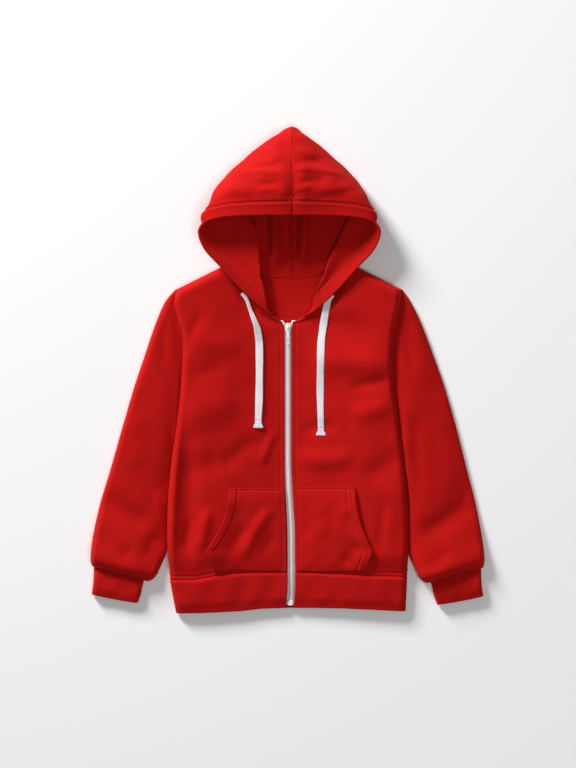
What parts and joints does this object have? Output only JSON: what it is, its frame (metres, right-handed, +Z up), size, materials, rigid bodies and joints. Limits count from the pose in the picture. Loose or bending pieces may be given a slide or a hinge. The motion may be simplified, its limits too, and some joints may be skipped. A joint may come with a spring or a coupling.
{
  "type": "kids hoodie",
  "caption": "Child's zip-front fleece hoodie lying flat on its back: hood, drawcords, long sleeves with rib cuffs, split patch pockets and a rib hem band.",
  "frame": {"origin": "on the surface the garment lies on, below the middle of its outline", "axes": "+Y runs from the hem to the hood, +X to the wearer's left, +Z up from the surface through the front of the garment"},
  "size_m": [0.5711, 0.7061, 0.0538],
  "materials": {
    "red_fleece": "brushed fleece with a soft matt nap",
    "red_rib": "fine rib knit, matt",
    "white_tape": "woven polyester tape",
    "white_cord": "flat braided cord with a faint lilac tint",
    "white_nylon": "satin nylon",
    "white_enamel": "glossy white enamel on cast zinc"
  },
  "bodies": {
    "garment": {"back": "red_fleece", "front_right": "red_fleece", "front_left": "red_fleece", "sleeve_right": "red_fleece", "sleeve_left": "red_fleece", "hood_right": "red_fleece", "hood_left": "red_fleece", "pocket_right": "red_fleece", "pocket_left": "red_fleece", "cuff_right": "red_rib", "cuff_left": "red_rib", "hem_band": "red_rib", "zip_tape_right": "white_tape", "zip_tape_left": "white_tape", "zip_coil": "white_nylon", "zip_box": "white_nylon", "zip_slider": "white_enamel", "zip_stop_right": "white_enamel", "zip_stop_left": "white_enamel", "drawstring_right": "white_cord", "drawstring_left": "white_cord", "drawstring_tip_right": "white_cord", "drawstring_tip_left": "white_cord"},
    "pull_tab": {"zip_pull": "white_enamel"}
  },
  "joints": [
    {"name": "pull_hinge", "type": "hinge", "parent": "garment", "child": "pull_tab", "pos_m": [0, 0.061, 0.0094], "axis": [-1, 0, 0], "range_deg": [0, 170]}
  ]
}
